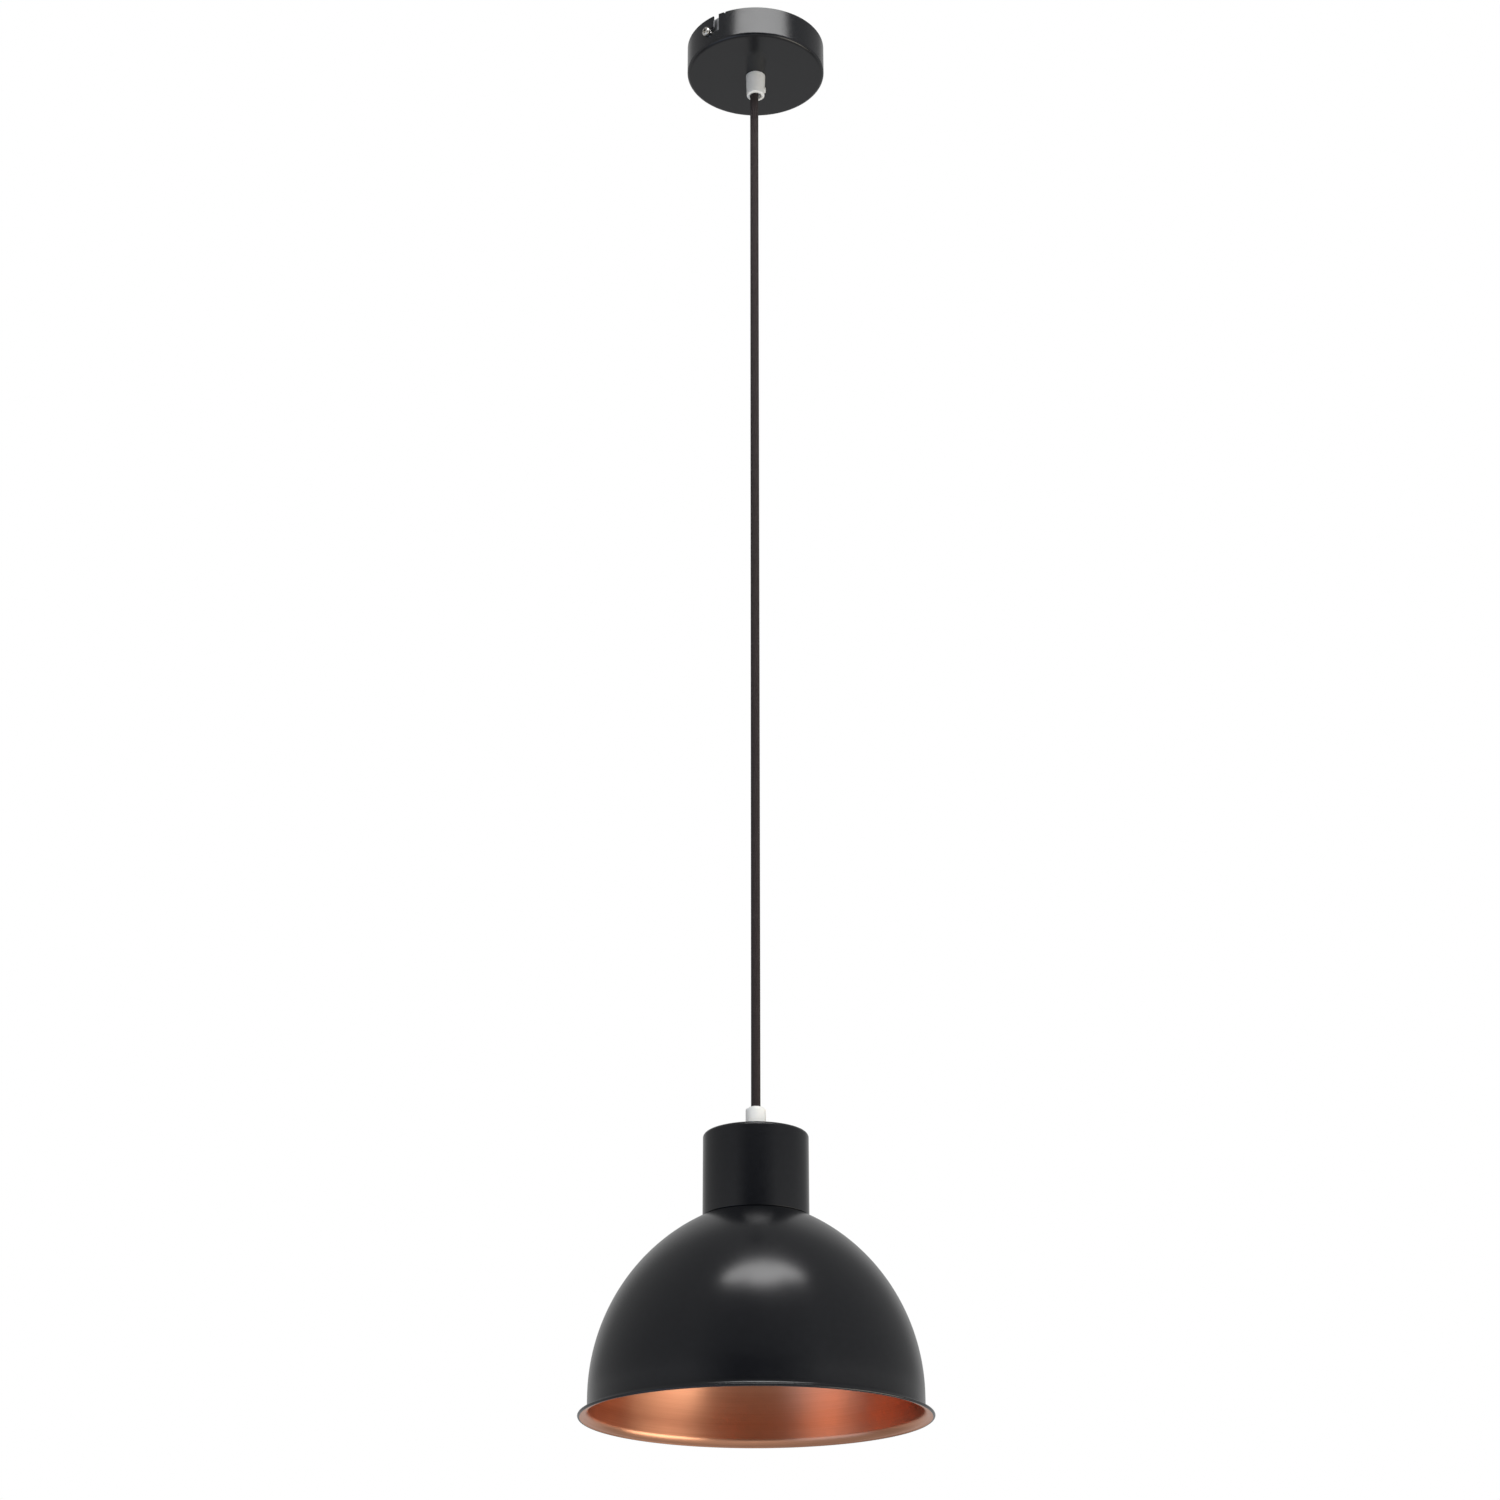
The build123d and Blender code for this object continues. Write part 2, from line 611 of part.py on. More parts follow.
def lower_wire(side):
    """Core from the cord's end in the neck to a terminal screw of the lampholder."""
    wire_z = carrier_top_z + 0.75
    points = [
        (side * core_spread, 0, lower_tail_end_z - seated_gap),
        (side * 1.9, 0, lower_tail_end_z - 7.0),
        (side * 2.4, 0, wire_z + 3.0),
        (side * 4.9, 0, wire_z + 0.6),
    ]
    wire = core(points, (0, 0, -1), (side * 0.97, 0, -0.24), 0.3)
    bare = Pos(side * 6.1, 0, wire_z) * Rot(0, 90, 0) * Cylinder(core_copper_radius, 3.4)
    return lamp_axis * (wire + bare)


# ---- the whole light, one entry per node --------------------------------------------------------
canopy_screw_tip = cord_radius - cord_push + seated_gap
shade_screw_tip = cord_radius + seated_gap
nodes = {
    "mounting_bracket": mounting_bracket(),
    "bracket_screws": bracket_screws(),
    "terminal_block": terminal_block(),
    "terminal_inserts": terminal_inserts(),
    "terminal_screws": terminal_screws(),
    "terminal_block_screw": terminal_block_screw(),
    "live_wire_upper": upper_wire(-1),
    "neutral_wire_upper": upper_wire(1),
    "canopy_cup": canopy_cup(),
    "canopy_cord_grip": canopy_cord_grip(),
    "canopy_grip_screw": grip_screw(canopy_screw_tip, 7.3, grip_screw_angle, grip_screw_z),
    "canopy_grip_nut": canopy_grip_nut(),
    "canopy_grip_washer": canopy_grip_washer(),
    "cord_tail_upper": cord_tail_upper(),
    "cord_bend": cord_link(upper_bend_z, lower_bend_z + cord_radius + running_gap),
    "cord_run": cord_link(lower_bend_z, lower_tail_top_z + running_gap),
    "cord_tail_lower": cord_tail_lower(),
    "shade_cord_grip": shade_cord_grip(),
    "shade_grip_screw": lamp_axis * grip_screw(shade_screw_tip, 6.9, shade_grip_screw_angle,
                                               shade_grip_screw_z),
    "neck_cup": neck_cup(),
    "shade": shade(),
    "shade_ring": shade_ring(),
    "lampholder_cap": lampholder_cap(),
    "lampholder_shell": lampholder_shell(),
    "contact_carrier": contact_carrier(),
    "screw_shell": screw_shell(),
    "centre_contact": centre_contact(),
    "side_contact": side_contact(),
    "holder_terminal_screws": holder_terminal_screws(),
    "live_wire_lower": lower_wire(-1),
    "neutral_wire_lower": lower_wire(1),
}

for name, part in nodes.items():
    export_step(part, f"parts/{name}.step")
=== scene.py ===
import bpy
import math
import numpy as np
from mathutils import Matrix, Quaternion, Vector


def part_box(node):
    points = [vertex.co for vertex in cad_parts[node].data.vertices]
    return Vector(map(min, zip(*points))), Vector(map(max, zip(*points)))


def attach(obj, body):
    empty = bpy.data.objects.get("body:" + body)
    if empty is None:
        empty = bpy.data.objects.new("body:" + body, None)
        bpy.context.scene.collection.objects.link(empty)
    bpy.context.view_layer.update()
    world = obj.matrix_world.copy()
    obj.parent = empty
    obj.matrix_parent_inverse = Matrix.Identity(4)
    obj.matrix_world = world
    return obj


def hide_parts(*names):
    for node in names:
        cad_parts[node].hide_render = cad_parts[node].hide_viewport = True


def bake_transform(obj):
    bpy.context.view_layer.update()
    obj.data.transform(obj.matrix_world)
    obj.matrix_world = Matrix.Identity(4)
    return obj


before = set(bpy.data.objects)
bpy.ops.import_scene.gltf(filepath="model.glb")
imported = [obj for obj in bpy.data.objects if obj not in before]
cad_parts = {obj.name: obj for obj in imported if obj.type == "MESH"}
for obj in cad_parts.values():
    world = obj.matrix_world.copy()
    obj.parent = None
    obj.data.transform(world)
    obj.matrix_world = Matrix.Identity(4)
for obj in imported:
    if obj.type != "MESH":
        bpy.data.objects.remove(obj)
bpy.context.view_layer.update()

# ---- places taken from the frame (metres) -------------------------------------------------------
neck_low, neck_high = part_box("neck_cup")
run_low, run_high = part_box("cord_run")

LAMP_X = (neck_low.x + neck_high.x) / 2
LAMP_Y = (neck_low.y + neck_high.y) / 2
CORD_RADIUS = (run_high.x - run_low.x) / 2
CORD_TOP_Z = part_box("cord_tail_upper")[1].z
CORD_END_Z = run_low.z
RIM_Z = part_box("shade")[0].z
SEAT_Z = neck_low.z
NECK_TOP_Z = neck_high.z

# ---- shapes of the spun sheet parts (metres) ----------------------------------------------------
SHADE_SHEET = 0.0009
DOME_ARC = 0.1222
DOME_OVERHANG = 0.020
DOME_CENTRE_Z = RIM_Z + 0.0129
SEAT_HOLE = 0.0208
SEAT_EDGE = 0.027              # where the flat seat under the neck turns into the dome
FLARE_ARC = 0.0036
FLARE_TURN = 86.0
FLARE_RUN = 0.00147
BEAD = 0.00095
DOME_POINTS = 72
FLARE_POINTS = 16
BEAD_POINTS = 15
COPPER_BEAD_POINT = 12         # point of the bead where black paint ends and copper starts
NECK_SHEET = 0.001
NECK_STUD_HOLE = 0.00515

# ---- the photograph's viewpoint -----------------------------------------------------------------
VIEW_AZIMUTH = -46.3
CAMERA_DISTANCE = 1.7585
CAMERA_Z = -1.3031
CAMERA_TILT = 22.88
CAMERA_LENS = 69.19
CAMERA_ROLL = -0.10
CAMERA_SHIFT_X = -0.0045


# ---- mesh helpers -------------------------------------------------------------------------------
def new_object(name, mesh):
    """Links a mesh as a new object in the scene."""
    obj = bpy.data.objects.new(name, mesh)
    bpy.context.scene.collection.objects.link(obj)
    return obj


def arc_points(centre, radius, start, end, count):
    """Points on an arc in the (radius, height) plane, angles in degrees from outwards."""
    angles = np.radians(np.linspace(start, end, count))
    return [(centre[0] + radius * math.cos(a), centre[1] + radius * math.sin(a)) for a in angles]


def rounded(corners, count=6):
    """Closed outline from (radius, height, fillet) corners, with arcs at the fillets."""
    points = []
    for number, (r, z, fillet) in enumerate(corners):
        corner = Vector((r, z))
        before = Vector(corners[number - 1][:2]) - corner
        after = Vector(corners[(number + 1) % len(corners)][:2]) - corner
        if fillet <= 0:
            points.append((r, z))
            continue
        half = before.angle(after) / 2
        reach = fillet / math.tan(half)
        middle = corner + (before.normalized() + after.normalized()).normalized() * (fillet / math.sin(half))
        first = corner + before.normalized() * reach - middle
        last = corner + after.normalized() * reach - middle
        for step in range(count + 1):
            way = first.lerp(last, step / count).normalized() * fillet
            points.append(tuple(middle + way))
    return points


def lathe(name, outline, centre, material_of=None, steps=144, sharp=35.0):
    """Closed solid of revolution. The UV map holds (turn, metres along the outline)."""
    count = len(outline)
    radii = np.array([p[0] for p in outline])
    heights = np.array([p[1] for p in outline])
    turns = np.linspace(0, 2 * math.pi, steps, endpoint=False)
    x = centre[0] + radii[:, None] * np.cos(turns)[None, :]
    y = centre[1] + radii[:, None] * np.sin(turns)[None, :]
    z = np.repeat(heights[:, None], steps, axis=1)
    verts = np.stack([x, y, z], axis=-1).reshape(-1, 3)
    along = np.concatenate([[0], np.cumsum(np.hypot(np.diff(radii), np.diff(heights)))])
    closing = math.hypot(radii[0] - radii[-1], heights[0] - heights[-1])
    faces, uvs, kinds = [], [], []
    for i in range(count):
        j = (i + 1) % count
        v_low, v_high = along[i], along[j] if j else along[-1] + closing
        for s in range(steps):
            t = (s + 1) % steps
            faces.append((i * steps + s, j * steps + s, j * steps + t, i * steps + t))
            u_low, u_high = s / steps, (s + 1) / steps
            uvs += [(u_low, v_low), (u_low, v_high), (u_high, v_high), (u_high, v_low)]
            kinds.append(material_of(i) if material_of else 0)
    mesh = bpy.data.meshes.new(name)
    mesh.from_pydata(verts.tolist(), [], faces)
    layer = mesh.uv_layers.new(name="UVMap")
    layer.data.foreach_set("uv", np.array(uvs, np.float32).ravel())
    mesh.polygons.foreach_set("material_index", kinds)
    mesh.polygons.foreach_set("use_smooth", [True] * len(faces))
    mesh.validate()
    area = 0.5 * np.sum(radii * np.roll(heights, -1) - np.roll(radii, -1) * heights)
    if area < 0:
        mesh.flip_normals()
    mesh.set_sharp_from_angle(angle=math.radians(sharp))
    return new_object(name, mesh)


# ---- material helpers ---------------------------------------------------------------------------
class Shader:
    """A node material round one Principled shader."""

    def __init__(self, name, color, metallic=0.0, roughness=0.5, **sockets):
        self.material = bpy.data.materials.new(name)
        self.material.use_nodes = True
        self.tree = self.material.node_tree
        self.principled = self.tree.nodes["Principled BSDF"]
        self.principled.inputs["Base Color"].default_value = (*color, 1)
        self.principled.inputs["Metallic"].default_value = metallic
        self.principled.inputs["Roughness"].default_value = roughness
        for socket, value in sockets.items():
            self.principled.inputs[socket.replace("_", " ")].default_value = value

    def add(self, kind, inputs=None, **settings):
        """A new node, with settings as attributes and inputs as values or links."""
        node = self.tree.nodes.new(kind)
        for key, value in settings.items():
            setattr(node, key, value)
        for key, value in (inputs or {}).items():
            self.feed(node.inputs[key], value)
        return node

    def feed(self, socket, value):
        """Puts a value or another node's output on an input."""
        if isinstance(value, bpy.types.NodeSocket):
            self.tree.links.new(value, socket)
        else:
            socket.default_value = value

    def math(self, operation, first, second=0.0):
        """Output of a Math node."""
        return self.add("ShaderNodeMath", {0: first, 1: second}, operation=operation).outputs[0]

    def place(self, kind="Object"):
        """Coordinates of the piece in metres, or its UV map."""
        return self.add("ShaderNodeTexCoord").outputs[kind]

    def noise(self, vector, scale, detail=3.0, rough=0.5, stretch=(1, 1, 1)):
        """Noise value, at a scale in features per metre, stretched if asked."""
        if stretch != (1, 1, 1):
            vector = self.add("ShaderNodeMapping", {"Vector": vector, "Scale": stretch}).outputs[0]
        node = self.add("ShaderNodeTexNoise", {"Vector": vector, "Scale": scale, "Detail": detail,
                                               "Roughness": rough})
        return node.outputs["Fac"]

    def spread(self, value, low, high):
        """Noise, which is mostly between 0.25 and 0.75, spread over a range."""
        node = self.add("ShaderNodeMapRange", {"Value": value, "From Min": 0.25, "From Max": 0.75,
                                               "To Min": low, "To Max": high})
        return node.outputs["Result"]

    def tint(self, value, dark, light):
        """Noise, which is mostly between 0.25 and 0.75, as a colour between two colours."""
        ramp = self.add("ShaderNodeValToRGB", {"Fac": value})
        ramp.color_ramp.elements[0].color = (*dark, 1)
        ramp.color_ramp.elements[1].color = (*light, 1)
        ramp.color_ramp.elements[0].position = 0.25
        ramp.color_ramp.elements[1].position = 0.75
        return ramp.outputs["Color"]

    def set(self, socket, value):
        """Links a value to one of the shader's sockets."""
        self.feed(self.principled.inputs[socket], value)

    def bump(self, height, distance):
        """Adds a bump, on top of one that is already there."""
        before = self.principled.inputs["Normal"].links
        inputs = {"Height": height, "Distance": distance, "Strength": 1.0}
        if before:
            inputs["Normal"] = before[0].from_socket
        self.set("Normal", self.add("ShaderNodeBump", inputs).outputs[0])


# ---- materials ----------------------------------------------------------------------------------
CARRIERS = 12.0                # strands of the cord's braid, each way round
BRAID_PITCH = 0.0125           # metres of cord per turn of a strand


def black_paint():
    """Satin black powder coat: fine orange peel, faint cloudiness in its gloss."""
    s = Shader("satin_black_paint", (0.005, 0.0055, 0.007), roughness=0.23)
    place = s.place()
    s.set("Roughness", s.spread(s.noise(place, 45, 4), 0.21, 0.25))
    s.set("Base Color", s.tint(s.noise(place, 300, 2), (0.0038, 0.0043, 0.0058), (0.0058, 0.0064, 0.0082)))
    s.bump(s.noise(place, 900, 2, 0.4), 0.00001)
    return s.material


def brushed_copper():
    """Lacquered copper, spun on a lathe: fine and coarse rings round the axis."""
    s = Shader("brushed_copper", (0.74, 0.33, 0.20), metallic=1.0, roughness=0.32, Anisotropic=0.6,
               Anisotropic_Rotation=0.25)
    uv = s.add("ShaderNodeSeparateXYZ", {0: s.place("UV")})
    place = s.add("ShaderNodeSeparateXYZ", {0: s.place()})
    rings = s.add("ShaderNodeCombineXYZ", {0: s.math("MULTIPLY", place.outputs[0], 18.0),
                                           1: s.math("MULTIPLY", place.outputs[1], 18.0),
                                           2: s.math("MULTIPLY", uv.outputs[1], 3600.0)}).outputs[0]
    fine = s.noise(rings, 1.0, 2, 0.6)
    coarse = s.noise(rings, 0.22, 3, 0.6)
    s.set("Roughness", s.spread(coarse, 0.30, 0.36))
    s.set("Base Color", s.tint(fine, (0.64, 0.305, 0.183), (0.72, 0.365, 0.229)))
    s.bump(fine, 0.0000025)
    s.bump(coarse, 0.000005)
    tangent = s.add("ShaderNodeTangent", direction_type="RADIAL", axis="Z")
    s.set("Tangent", tangent.outputs[0])
    return s.material


def nylon():
    """Natural white nylon, faintly translucent, with a moulded satin skin."""
    s = Shader("white_nylon", (0.84, 0.84, 0.82), roughness=0.38, Subsurface_Weight=0.4,
               Subsurface_Scale=0.003, Subsurface_Radius=(1.0, 0.95, 0.9))
    place = s.place()
    s.set("Base Color", s.tint(s.noise(place, 260, 3), (0.86, 0.86, 0.83), (0.92, 0.92, 0.895)))
    s.set("Roughness", s.spread(s.noise(place, 500, 2), 0.33, 0.43))
    s.bump(s.noise(place, 1500, 2), 0.000008)
    return s.material


def plated_steel(name, dark, light, low, high, spots):
    """Plated steel: cloudy plating with fine drawn lines."""
    s = Shader(name, light, metallic=1.0, roughness=(low + high) / 2)
    place = s.place()
    s.set("Base Color", s.tint(s.noise(place, spots, 4, 0.6), dark, light))
    s.set("Roughness", s.spread(s.noise(place, spots * 1.7, 3), low, high))
    s.bump(s.noise(place, 900, 3, 0.6, stretch=(0.15, 1, 1)), 0.000008)
    return s.material


def turned_brass():
    """Bare brass with turning lines and a little tarnish."""
    s = Shader("turned_brass", (0.72, 0.50, 0.20), metallic=1.0, roughness=0.28)
    place = s.place()
    s.set("Base Color", s.tint(s.noise(place, 170, 4), (0.55, 0.36, 0.14), (0.80, 0.58, 0.26)))
    s.set("Roughness", s.spread(s.noise(place, 420, 3), 0.22, 0.38))
    s.bump(s.noise(place, 2500, 2, 0.5, stretch=(0.05, 0.05, 1)), 0.000006)
    return s.material


def spring_bronze():
    """Rolled bronze strip."""
    s = Shader("spring_bronze", (0.60, 0.36, 0.17), metallic=1.0, roughness=0.33)
    place = s.place()
    s.set("Base Color", s.tint(s.noise(place, 240, 3), (0.46, 0.26, 0.12), (0.66, 0.42, 0.20)))
    s.bump(s.noise(place, 1800, 2, 0.5, stretch=(0.05, 1, 1)), 0.000006)
    return s.material


def black_moulding():
    """Black thermoset with a fine spark-eroded grain."""
    s = Shader("black_moulding", (0.012, 0.012, 0.012), roughness=0.45)
    place = s.place()
    s.set("Base Color", s.tint(s.noise(place, 200, 3), (0.010, 0.010, 0.010), (0.019, 0.019, 0.019)))
    s.set("Roughness", s.spread(s.noise(place, 700, 3), 0.40, 0.55))
    s.bump(s.noise(place, 2600, 3, 0.6), 0.00002)
    return s.material


def glazed_ceramic():
    """White steatite with a thin glaze and pinhole specks."""
    s = Shader("glazed_ceramic", (0.82, 0.80, 0.74), roughness=0.22, Coat_Weight=0.5, Coat_Roughness=0.12)
    place = s.place()
    s.set("Base Color", s.tint(s.noise(place, 600, 4, 0.7), (0.70, 0.67, 0.60), (0.85, 0.83, 0.77)))
    s.bump(s.noise(place, 350, 3), 0.00003)
    return s.material


def core_insulation(name, dark, light):
    """Soft PVC insulation of one core."""
    s = Shader(name, light, roughness=0.42)
    place = s.place()
    s.set("Base Color", s.tint(s.noise(place, 350, 3), dark, light))
    s.bump(s.noise(place, 1200, 2), 0.00001)
    return s.material


def cord_braid():
    """Textile braid: two sets of strands that cross over and under, each strand of fine threads."""
    s = Shader("textile_braid", (0.035, 0.026, 0.026), roughness=0.9, Sheen_Weight=0.02, Sheen_Roughness=0.45)
    uv = s.add("ShaderNodeSeparateXYZ", {0: s.place("UV")})
    turn = s.math("MULTIPLY", uv.outputs[0], CARRIERS)
    lift = s.math("MULTIPLY", uv.outputs[1], CARRIERS / BRAID_PITCH)
    right = s.math("ADD", turn, lift)
    left = s.math("SUBTRACT", turn, lift)
    strands = []
    for way in (right, left):
        across = s.math("PINGPONG", way, 0.5)
        strands.append(s.math("SINE", s.math("MULTIPLY", across, math.pi)))
    over = s.math("GREATER_THAN", s.math("SINE", s.math("MULTIPLY", turn, 2 * math.pi)), 0.0)
    under = s.math("SUBTRACT", 1.0, over)
    height = s.math("ADD", s.math("MULTIPLY", strands[0], over), s.math("MULTIPLY", strands[1], under))
    fuzz = s.noise(s.place(), 5200, 3, 0.7)
    s.bump(height, 0.00016)
    s.bump(fuzz, 0.00008)
    # painted shade: the base colour follows the strands' height, darker in the valleys between the strands
    # and lighter on their crowns, mixed with a random thread-to-thread tone from the fuzz noise
    shade = s.math("ADD", s.math("MULTIPLY", height, 0.62), s.math("MULTIPLY", fuzz, 0.38))
    s.set("Base Color", s.tint(shade, (0.0095, 0.0066, 0.0067), (0.0305, 0.0215, 0.0218)))
    return s.material


# ---- spun metal pieces --------------------------------------------------------------------------
def sheet_side(offset):
    """One side of the shade's sheet, from the seat's hole to the flare's end, set in by an offset."""
    arc = DOME_ARC - offset
    level = SEAT_Z - offset
    start = math.degrees(math.asin((level - DOME_CENTRE_Z) / arc))
    points = [(SEAT_HOLE, level), (SEAT_EDGE, level)]
    points += arc_points((-DOME_OVERHANG, DOME_CENTRE_Z), arc, start, 0, DOME_POINTS)
    flare_z = RIM_Z + (FLARE_ARC + SHADE_SHEET / 2) * math.sin(math.radians(FLARE_TURN))
    flare_z += FLARE_RUN * math.cos(math.radians(FLARE_TURN)) + BEAD
    wall = DOME_ARC - DOME_OVERHANG - offset
    flare = FLARE_ARC + offset
    points += arc_points((wall + flare, flare_z), flare, 180, 180 + FLARE_TURN, FLARE_POINTS)
    turn = math.radians(FLARE_TURN)
    end = points[-1]
    return points + [(end[0] + FLARE_RUN * math.sin(turn), end[1] - FLARE_RUN * math.cos(turn))]


def shade_outline():
    """Closed outline: down the outside, round the bead, up the inside. Also where copper starts."""
    outer = sheet_side(0.0)
    inner = sheet_side(SHADE_SHEET)
    bead_at = ((outer[-1][0] + inner[-1][0]) / 2, (outer[-1][1] + inner[-1][1]) / 2)
    reach = math.degrees(math.asin(min(1.0, SHADE_SHEET / 2 / BEAD)))
    way = -(90 - FLARE_TURN)
    bead = arc_points(bead_at, BEAD, way + 180 - reach, way - 180 + reach, BEAD_POINTS)
    outline = outer[:-1] + bead + inner[:-1][::-1]
    return outline, len(outer) - 1 + COPPER_BEAD_POINT


def make_shade(paint, copper):
    """The dome shade, black outside and copper inside."""
    outline, copper_from = shade_outline()
    piece = lathe("shade_spinning", outline, (LAMP_X, LAMP_Y), lambda i: int(i >= copper_from), steps=256)
    piece.data.materials.append(paint)
    piece.data.materials.append(copper)
    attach(piece, "lamp")
    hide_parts("shade")


def make_neck(paint):
    """The neck cup, with its drawn edges rounded."""
    outer = (neck_high.x - neck_low.x) / 2
    inner = outer - NECK_SHEET
    outline = rounded([(outer, SEAT_Z, 0.0003), (outer, NECK_TOP_Z, 0.0025),
                       (NECK_STUD_HOLE, NECK_TOP_Z, 0.0001),
                       (NECK_STUD_HOLE, NECK_TOP_Z - NECK_SHEET, 0.0001),
                       (inner, NECK_TOP_Z - NECK_SHEET, 0.0015), (inner, SEAT_Z, 0.0003)], 8)
    piece = lathe("neck_drawing", outline, (LAMP_X, LAMP_Y), steps=192)
    piece.data.materials.append(paint)
    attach(piece, "lamp")
    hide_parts("neck_cup")


# ---- cord ---------------------------------------------------------------------------------------
CORD_JOIN_Z = -0.070           # where its two pieces meet
CORD_AROUND = 32
CORD_RING_SPACING = 0.0011
CORD_SKIN = 0.00002            # its mesh lies this far inside the CAD's cord


def spline_line(name, route):
    """Points along the smooth line of a route, read from its NURBS curve."""
    curve = bpy.data.curves.new(name, "CURVE")
    curve.dimensions = "3D"
    spline = curve.splines.new("NURBS")
    spline.points.add(len(route) - 1)
    for point, place in zip(spline.points, route):
        point.co = (*place, 1)
    spline.order_u = 3
    spline.use_endpoint_u = True
    spline.resolution_u = 24
    holder = bpy.data.objects.new(name, curve)
    mesh = bpy.data.meshes.new_from_object(holder)
    line = [v.co.copy() for v in mesh.vertices]
    bpy.data.objects.remove(holder)
    bpy.data.curves.remove(curve)
    bpy.data.meshes.remove(mesh)
    return line


def cord_tube(name, line):
    """Tube along an upright line, with UV (turn, metres from the line's start)."""
    top, low = line[0].z, line[-1].z
    rings = max(2, int((top - low) / CORD_RING_SPACING))
    heights = np.linspace(top, low, rings)
    turns = np.linspace(0, 2 * math.pi, CORD_AROUND, endpoint=False)
    radius = CORD_RADIUS - CORD_SKIN
    verts = [(line[0].x + radius * math.cos(a), line[0].y + radius * math.sin(a), z)
             for z in heights for a in turns]
    faces, uvs = [], []
    for i in range(rings - 1):
        for s in range(CORD_AROUND):
            t = (s + 1) % CORD_AROUND
            faces.append((i * CORD_AROUND + s, (i + 1) * CORD_AROUND + s, (i + 1) * CORD_AROUND + t,
                          i * CORD_AROUND + t))
            u_low, u_high = s / CORD_AROUND, (s + 1) / CORD_AROUND
            uvs += [(u_low, -heights[i]), (u_low, -heights[i + 1]), (u_high, -heights[i + 1]),
                    (u_high, -heights[i])]
    faces.append(tuple(range(CORD_AROUND)))
    faces.append(tuple((rings - 1) * CORD_AROUND + s for s in reversed(range(CORD_AROUND))))
    uvs += [(0.5, 0.0)] * (2 * CORD_AROUND)
    mesh = bpy.data.meshes.new(name)
    mesh.from_pydata(verts, [], faces)
    mesh.uv_layers.new(name="UVMap").data.foreach_set("uv", np.array(uvs, np.float32).ravel())
    mesh.polygons.foreach_set("use_smooth", [True] * len(faces))
    mesh.set_sharp_from_angle(angle=math.radians(50))
    return new_object(name, mesh)


def make_cord(braid):
    """The cord in two pieces that meet between its two bending points."""
    upper_heights = (CORD_TOP_Z, -0.028, -0.050, CORD_JOIN_Z)
    lower_heights = (CORD_JOIN_Z, -0.250, -0.450, -0.650, CORD_END_Z)
    upper_line = spline_line("cord_upper_route", [(LAMP_X, LAMP_Y, z) for z in upper_heights])
    lower_line = spline_line("cord_lower_route", [(LAMP_X, LAMP_Y, z) for z in lower_heights])
    upper = cord_tube("cord_upper", upper_line)
    lower = cord_tube("cord_lower", lower_line)
    for piece in (upper, lower):
        piece.data.materials.append(braid)
    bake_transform(upper)
    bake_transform(lower)
    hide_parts("cord_tail_upper", "cord_bend")
    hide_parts("cord_run")


# ---- materials on the CAD's own pieces ----------------------------------------------------------
def finish_nodes(paint, braid):
    """Gives every CAD node that stays visible its material."""
    zinc = plated_steel("zinc_plating", (0.52, 0.53, 0.56), (0.74, 0.75, 0.77), 0.26, 0.42, 120)
    nickel = plated_steel("nickel_plating", (0.60, 0.58, 0.54), (0.78, 0.76, 0.72), 0.16, 0.28, 300)
    white = nylon()
    brass = turned_brass()
    moulding = black_moulding()
    bronze = spring_bronze()
    brown = core_insulation("brown_core", (0.085, 0.030, 0.013), (0.13, 0.050, 0.022))
    blue = core_insulation("blue_core", (0.010, 0.045, 0.21), (0.020, 0.075, 0.32))
    finishes = {
        zinc: ["mounting_bracket", "terminal_screws", "terminal_block_screw", "canopy_grip_nut",
               "canopy_grip_washer"],
        nickel: ["bracket_screws", "holder_terminal_screws"],
        white: ["terminal_block", "canopy_cord_grip", "canopy_grip_screw", "shade_cord_grip",
                "shade_grip_screw"],
        brass: ["terminal_inserts", "screw_shell"],
        bronze: ["centre_contact", "side_contact"],
        moulding: ["shade_ring", "lampholder_cap", "lampholder_shell"],
        glazed_ceramic(): ["contact_carrier"],
        brown: ["live_wire_upper", "live_wire_lower"],
        blue: ["neutral_wire_upper", "neutral_wire_lower"],
        paint: ["canopy_cup"],
        braid: ["cord_tail_lower"],
    }
    for material, names in finishes.items():
        for name in names:
            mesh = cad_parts[name].data
            mesh.materials.clear()
            mesh.materials.append(material)


# ---- stage: floor, light and camera -------------------------------------------------------------
FLOOR_Z = -2.0
FLOOR_FRONT = 0.8              # metres that it reaches in front of the lamp
FLOOR_REACH = 6.0              # and to the back and to each side
FLOOR_SHADE = 0.66
FLOOR_GLOW_START = 1.2         # metres behind the lamp where its glow starts to grow
FLOOR_GLOW_END = 2.4
FLOOR_GLOW_NEAR = 0.0
FLOOR_GLOW_FAR = 0.29
FLOOR_SEEN = 0.68              # its glow to the camera

# brightness of the room's parts, as reflections and light see them
BACKDROP = 0.55
SIDES = 0.34
LOW_SIDES = 0.52
GAP = 0.03                     # behind the camera
ABOVE_GAP = 0.20
ZENITH = 0.30
TABLE = 0.60
TABLE_FRONT = 0.10

# where the room's parts fade into each other: first by how far a direction points to the camera's
# side (1 is straight to it, -1 straight away), then by how far it points up
BACKDROP_EDGE = (-0.72, -0.92)
GAP_EDGE = (0.72, 0.98)
TABLE_EDGE = (0.80, 0.97)
LOW_SIDES_TOP = (0.17, 0.21)
GAP_TOP = (0.24, 0.34)
ZENITH_EDGE = (0.80, 0.95)
HORIZON = (-0.05, -0.22)


def towards(azimuth):
    """Level direction from the light towards a viewer at an azimuth round it."""
    a = math.radians(azimuth)
    return Vector((math.sin(a), -math.cos(a), 0))


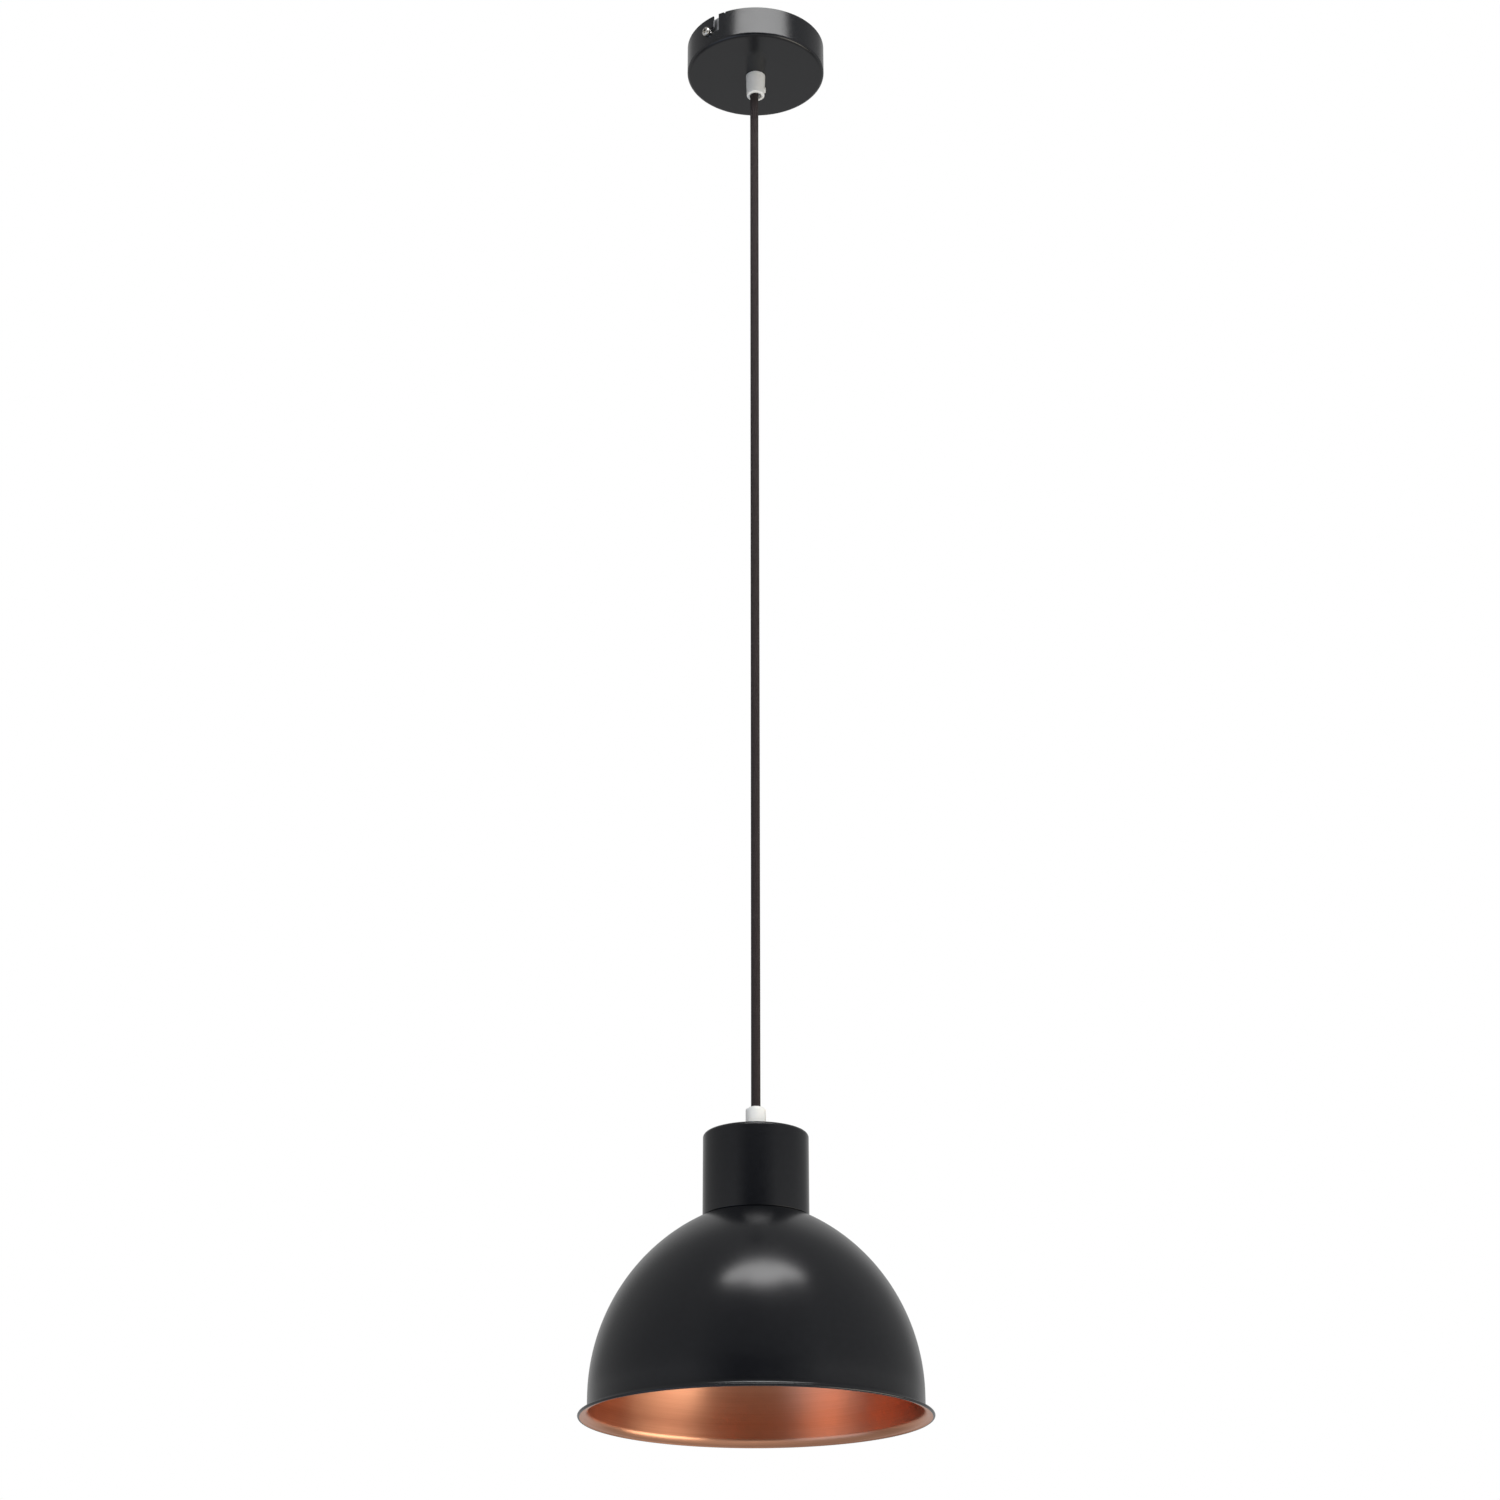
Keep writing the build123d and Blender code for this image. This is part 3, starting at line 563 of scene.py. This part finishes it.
def area_light(name, azimuth, distance, z, target_z, size, power, tint=(1, 1, 1), shape="RECTANGLE"):
    """Soft box at an azimuth and a distance from the lamp's axis and at a height z, aimed at the height
    target_z on that axis. Its size is in metres and its power in watts."""
    light = bpy.data.lights.new(name, "AREA")
    light.shape = shape
    light.size, light.size_y = size
    light.energy = power
    light.color = tint
    obj = bpy.data.objects.new(name, light)
    bpy.context.scene.collection.objects.link(obj)
    obj.location = towards(azimuth) * distance + Vector((0, 0, z))
    obj.visible_camera = False
    aim = Vector((0, 0, target_z)) - obj.location
    obj.rotation_euler = aim.to_track_quat("-Z", "Y").to_euler()
    return obj


def make_floor():
    """Pale floor, well below the hanging lamp, ending just in front of it. The camera sees it nearly
    white. Reflections see it dimmer, and brighter towards the back."""
    back = -towards(VIEW_AZIMUTH)
    side = Vector((-back.y, back.x, 0))
    corners = [side * x + back * y + Vector((0, 0, FLOOR_Z))
               for x, y in ((-FLOOR_REACH, -FLOOR_FRONT), (FLOOR_REACH, -FLOOR_FRONT),
                            (FLOOR_REACH, FLOOR_REACH), (-FLOOR_REACH, FLOOR_REACH))]
    mesh = bpy.data.meshes.new("floor")
    mesh.from_pydata(corners, [], [(0, 1, 2, 3)])
    mesh.flip_normals()
    floor = new_object("floor", mesh)
    s = Shader("light_table", (FLOOR_SHADE, FLOOR_SHADE, FLOOR_SHADE), roughness=0.7,
               Emission_Color=(1, 1, 1, 1))
    away = s.add("ShaderNodeVectorMath", {0: s.place(), 1: back}, operation="DOT_PRODUCT").outputs["Value"]
    glow = s.add("ShaderNodeMapRange", {"Value": away, "From Min": FLOOR_GLOW_START,
                                        "From Max": FLOOR_GLOW_END, "To Min": FLOOR_GLOW_NEAR,
                                        "To Max": FLOOR_GLOW_FAR})
    seen = s.math("MULTIPLY", s.add("ShaderNodeLightPath").outputs["Is Camera Ray"], FLOOR_SEEN)
    s.set("Emission Strength", s.math("MAXIMUM", glow.outputs["Result"], seen))
    floor.data.materials.append(s.material)


def make_world():
    """White room. Reflections see it bright behind and below, dimmer at the sides and overhead, and
    darkest behind the camera. The camera itself sees it white."""
    world = bpy.data.worlds.new("studio")
    bpy.context.scene.world = world
    world.use_nodes = True
    tree = world.node_tree

    def node(kind, *inputs, **settings):
        made = tree.nodes.new(kind)
        for key, value in settings.items():
            setattr(made, key, value)
        for socket, value in zip(made.inputs, inputs):
            if isinstance(value, bpy.types.NodeSocket):
                tree.links.new(value, socket)
            else:
                socket.default_value = value
        return made

    def calc(operation, *inputs):
        return node("ShaderNodeMath", *inputs, operation=operation).outputs[0]

    def ramp(value, edge, low=0.0, high=1.0):
        return node("ShaderNodeMapRange", value, *edge, low, high).outputs["Result"]

    def blend(factor, first, second):
        first_part = calc("MULTIPLY", calc("SUBTRACT", 1.0, factor), first)
        return calc("ADD", first_part, calc("MULTIPLY", factor, second))

    way = node("ShaderNodeTexCoord").outputs["Generated"]
    height = node("ShaderNodeSeparateXYZ", way).outputs["Z"]
    level = calc("SQRT", calc("MAXIMUM", calc("SUBTRACT", 1.0, calc("MULTIPLY", height, height)), 0.0001))
    facing = node("ShaderNodeVectorMath", way, towards(VIEW_AZIMUTH), operation="DOT_PRODUCT")
    front = calc("DIVIDE", facing.outputs["Value"], level)
    backdrop = ramp(front, BACKDROP_EDGE)
    gap = blend(ramp(height, LOW_SIDES_TOP), ramp(front, GAP_EDGE, LOW_SIDES, GAP),
                ramp(front, GAP_EDGE, SIDES, GAP))
    above_gap = ramp(front, GAP_EDGE, SIDES, ABOVE_GAP)
    walls = blend(ramp(height, GAP_TOP), gap, above_gap)
    upper = blend(backdrop, walls, BACKDROP)
    upper = blend(ramp(height, ZENITH_EDGE), upper, ZENITH)
    table = ramp(front, TABLE_EDGE, TABLE, TABLE_FRONT)
    light = blend(ramp(height, HORIZON), upper, table)
    seen = node("ShaderNodeLightPath").outputs["Is Camera Ray"]
    background = tree.nodes["Background"]
    background.inputs["Color"].default_value = (1, 1, 1, 1)
    tree.links.new(calc("MAXIMUM", light, seen), background.inputs["Strength"])


def make_lights():
    """Overhead soft box in front of the lamp, side boxes that light the copper, and a fill."""
    area_light("overhead_box", VIEW_AZIMUTH + 9, 0.59, 0.38, -0.5, (1.20, 0.34), 6.8, shape="ELLIPSE")
    area_light("front_strip", VIEW_AZIMUTH + 9, 0.76, 0.30, -0.5, (0.46, 0.18), 0.85, shape="ELLIPSE")
    area_light("low_box", VIEW_AZIMUTH, 1.0, -1.85, -1.0, (0.9, 0.5), 1.2)
    area_light("right_box", VIEW_AZIMUTH + 74, 1.3, -1.45, -0.97, (1.7, 0.8), 11.4, (1, 0.92, 0.79),
               shape="ELLIPSE")
    area_light("left_box", VIEW_AZIMUTH - 57, 1.3, -1.45, -0.97, (1.8, 0.8), 2.1, (0.60, 0.86, 1.38),
               shape="ELLIPSE")
    fill = area_light("fill", VIEW_AZIMUTH + 15, 1.0, -0.88, -0.85, (0.7, 0.7), 5.0)
    fill.visible_glossy = False


def make_camera():
    """Camera below the shade, tilted up, as in the photograph."""
    camera = bpy.data.objects.new("camera", bpy.data.cameras.new("camera"))
    bpy.context.scene.collection.objects.link(camera)
    camera.data.sensor_width = 36.0
    camera.data.lens = CAMERA_LENS
    camera.data.shift_x = CAMERA_SHIFT_X
    camera.location = towards(VIEW_AZIMUTH) * CAMERA_DISTANCE + Vector((0, 0, CAMERA_Z))
    tilt = math.radians(CAMERA_TILT)
    gaze = -towards(VIEW_AZIMUTH) * math.cos(tilt) + Vector((0, 0, math.sin(tilt)))
    roll = Quaternion((0, 0, 1), math.radians(CAMERA_ROLL))
    camera.rotation_euler = (gaze.to_track_quat("-Z", "Y") @ roll).to_euler()
    bpy.context.scene.camera = camera


# ---- build --------------------------------------------------------------------------------------
paint = black_paint()
braid = cord_braid()
make_shade(paint, brushed_copper())
make_neck(paint)
make_cord(braid)
finish_nodes(paint, braid)
make_floor()
make_world()
make_lights()
make_camera()
bpy.context.scene.view_settings.view_transform = "Standard"
